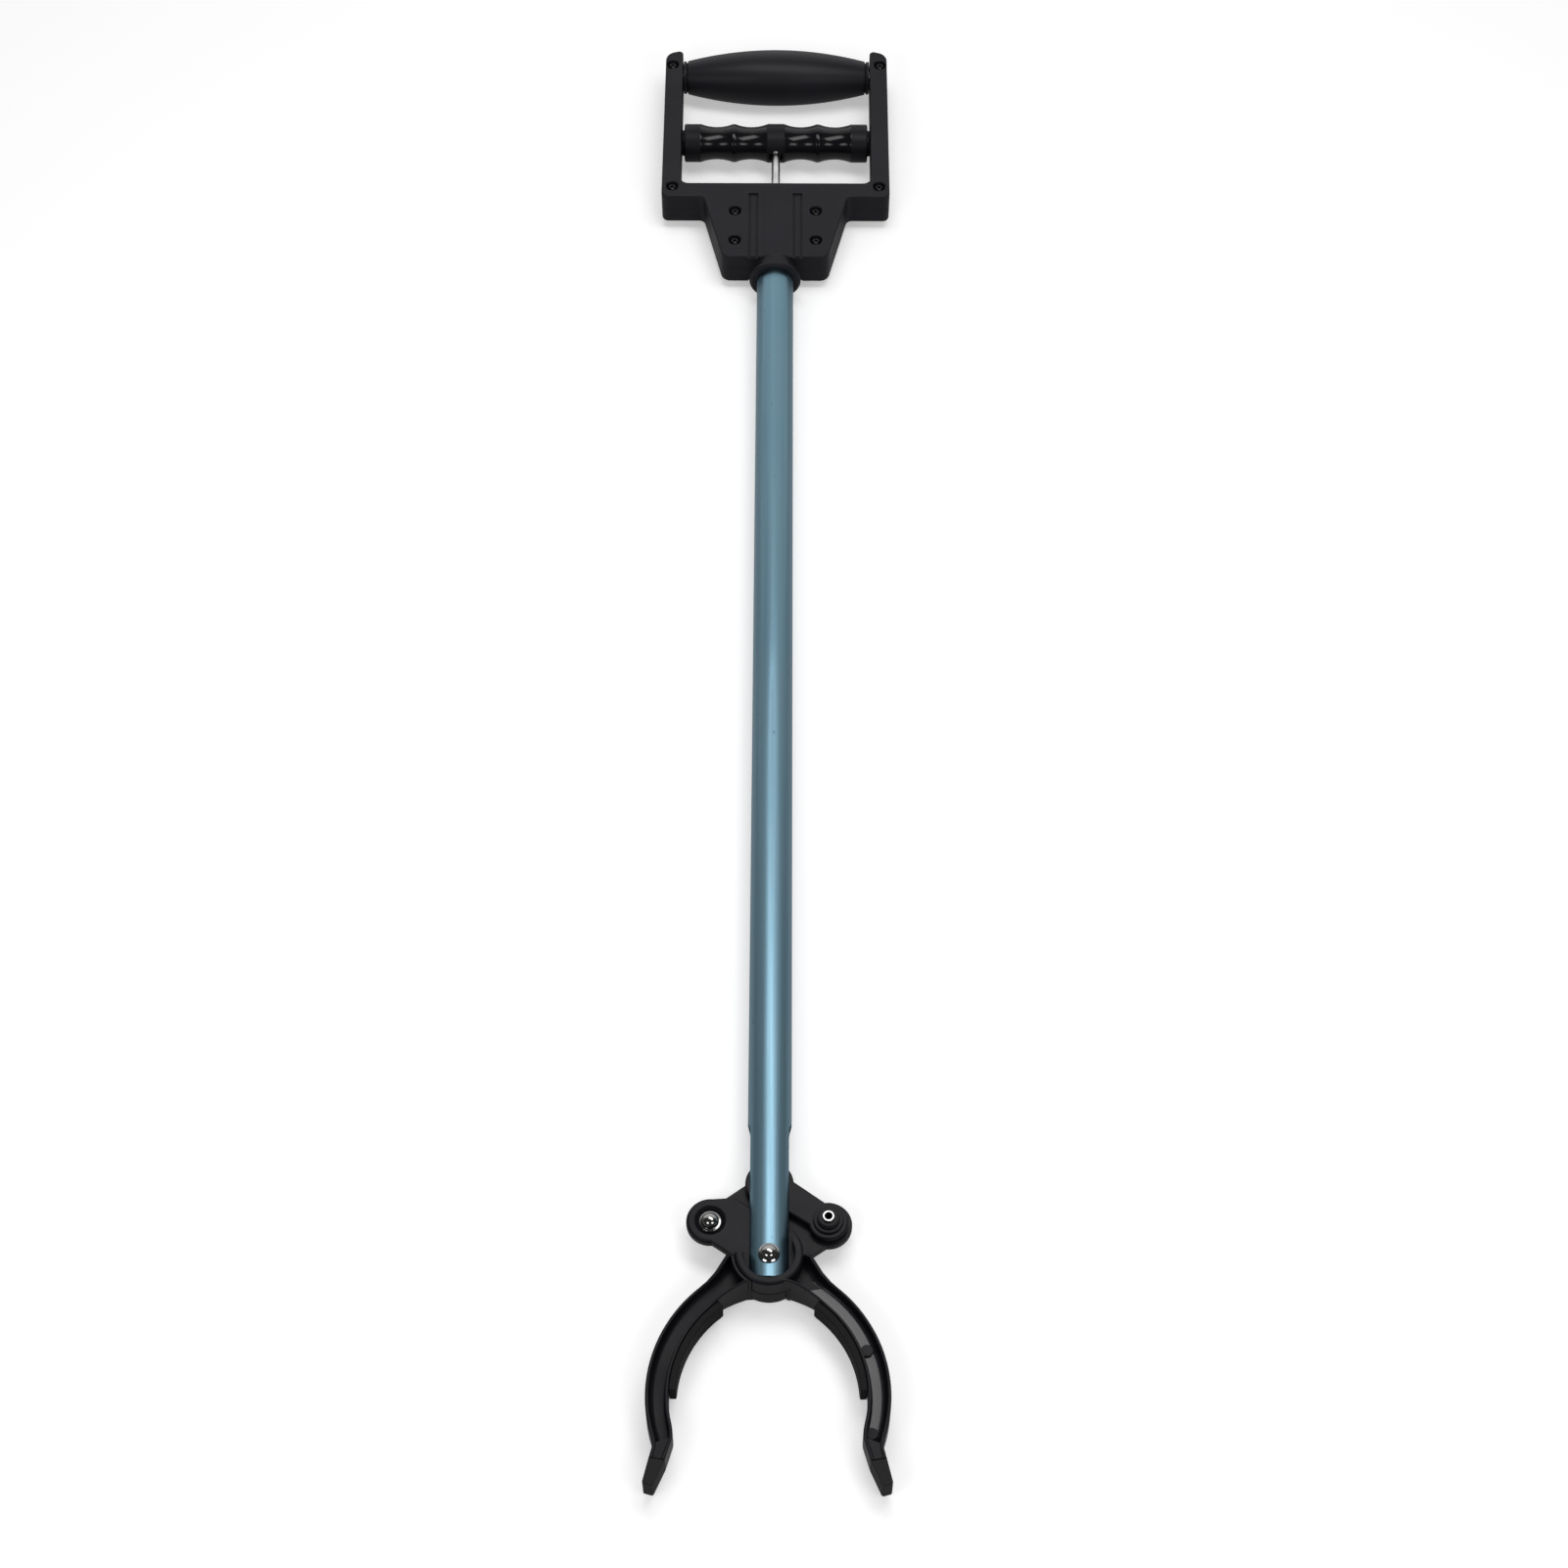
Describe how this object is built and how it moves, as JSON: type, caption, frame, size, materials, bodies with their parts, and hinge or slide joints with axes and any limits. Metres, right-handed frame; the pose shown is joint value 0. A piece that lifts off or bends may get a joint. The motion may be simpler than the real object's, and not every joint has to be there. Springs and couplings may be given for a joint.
{
  "type": "reacher grabber",
  "caption": "Long-handled reacher grabber: a squeeze bar under a fixed grip pulls a rod down the tube and closes two padded crossing jaws.",
  "frame": {"origin": "centre of the bounding box with the jaws open, on the tube axis, 359.82 mm up the tube from the pivot the two jaws share", "axes": "+Y along the tube towards the handle, +Z out of the front face with the screw heads, +X to the right seen from the front with the handle up"},
  "size_m": [0.141, 0.9494, 0.0348],
  "materials": {
    "tube_metal": "satin blue anodised, drawn lengthwise",
    "shell_plastic": "satin moulded, fine grain",
    "grip_plastic": "satin",
    "bar_plastic": "glossy",
    "jaw_plastic": "semi-gloss moulded",
    "guide_plastic": "plain",
    "pad_rubber": "matte",
    "cap_rubber": "matte",
    "steel": "zinc plated",
    "bright_nickel": "polished nickel",
    "screw_black": "black oxide"
  },
  "bodies": {
    "frame": {"main_tube": "tube_metal", "front_handle_shell": "shell_plastic", "rear_handle_shell": "shell_plastic", "top_grip": "grip_plastic", "grip_spindle": "steel", "tube_collar": "shell_plastic", "tube_key_pin_1": "steel", "tube_key_pin_2": "steel", "spring_seat": "guide_plastic", "return_spring": "steel", "lower_rod_guide": "guide_plastic", "upper_rod_guide": "guide_plastic", "main_pivot_pin": "bright_nickel", "shell_screw_1": "screw_black", "shell_screw_2": "screw_black", "shell_screw_3": "screw_black", "shell_screw_4": "screw_black", "shell_screw_5": "screw_black", "shell_screw_6": "screw_black", "shell_screw_7": "screw_black", "shell_screw_8": "screw_black"},
    "pull_train": {"squeeze_bar": "bar_plastic", "rod_nut": "steel", "pull_rod": "steel", "spring_collar": "steel", "rod_end_clevis": "guide_plastic", "clevis_pin": "steel"},
    "left_link_body": {"left_link": "jaw_plastic"},
    "right_link_body": {"right_link": "jaw_plastic"},
    "right_jaw_body": {"right_jaw": "jaw_plastic", "right_grip_pad": "pad_rubber", "right_tip_cap": "cap_rubber", "left_ear_rivet": "bright_nickel"},
    "left_jaw_body": {"left_jaw": "jaw_plastic", "left_grip_pad": "pad_rubber", "left_tip_cap": "cap_rubber", "right_ear_rivet": "bright_nickel"}
  },
  "joints": [
    {"name": "squeeze_slide", "type": "slide", "parent": "frame", "child": "pull_train", "axis": [0, 1, 0], "range_m": [0, 0.0211], "deforming": ["return_spring"]},
    {"name": "right_jaw_pivot", "type": "hinge", "parent": "frame", "child": "right_jaw_body", "pos_m": [0, -0.35982, 0], "axis": [0, 0, 1], "range_deg": [-24.65, 0]},
    {"name": "left_jaw_pivot", "type": "hinge", "parent": "frame", "child": "left_jaw_body", "pos_m": [0, -0.35982, 0], "axis": [0, 0, 1], "range_deg": [0, 24.65]},
    {"name": "right_link_pivot", "type": "hinge", "parent": "pull_train", "child": "right_link_body", "pos_m": [0, -0.31982, 0], "axis": [0, 0, 1], "range_deg": [-24.65, 0]},
    {"name": "left_link_pivot", "type": "hinge", "parent": "pull_train", "child": "left_link_body", "pos_m": [0, -0.31982, 0], "axis": [0, 0, 1], "range_deg": [0, 24.65]}
  ],
  "couplings": [
    {"joint": "right_jaw_pivot", "follows": "squeeze_slide", "rad_per_m": -20.348},
    {"joint": "left_jaw_pivot", "follows": "squeeze_slide", "rad_per_m": 20.348},
    {"joint": "right_link_pivot", "follows": "squeeze_slide", "rad_per_m": -20.348},
    {"joint": "left_link_pivot", "follows": "squeeze_slide", "rad_per_m": 20.348}
  ]
}
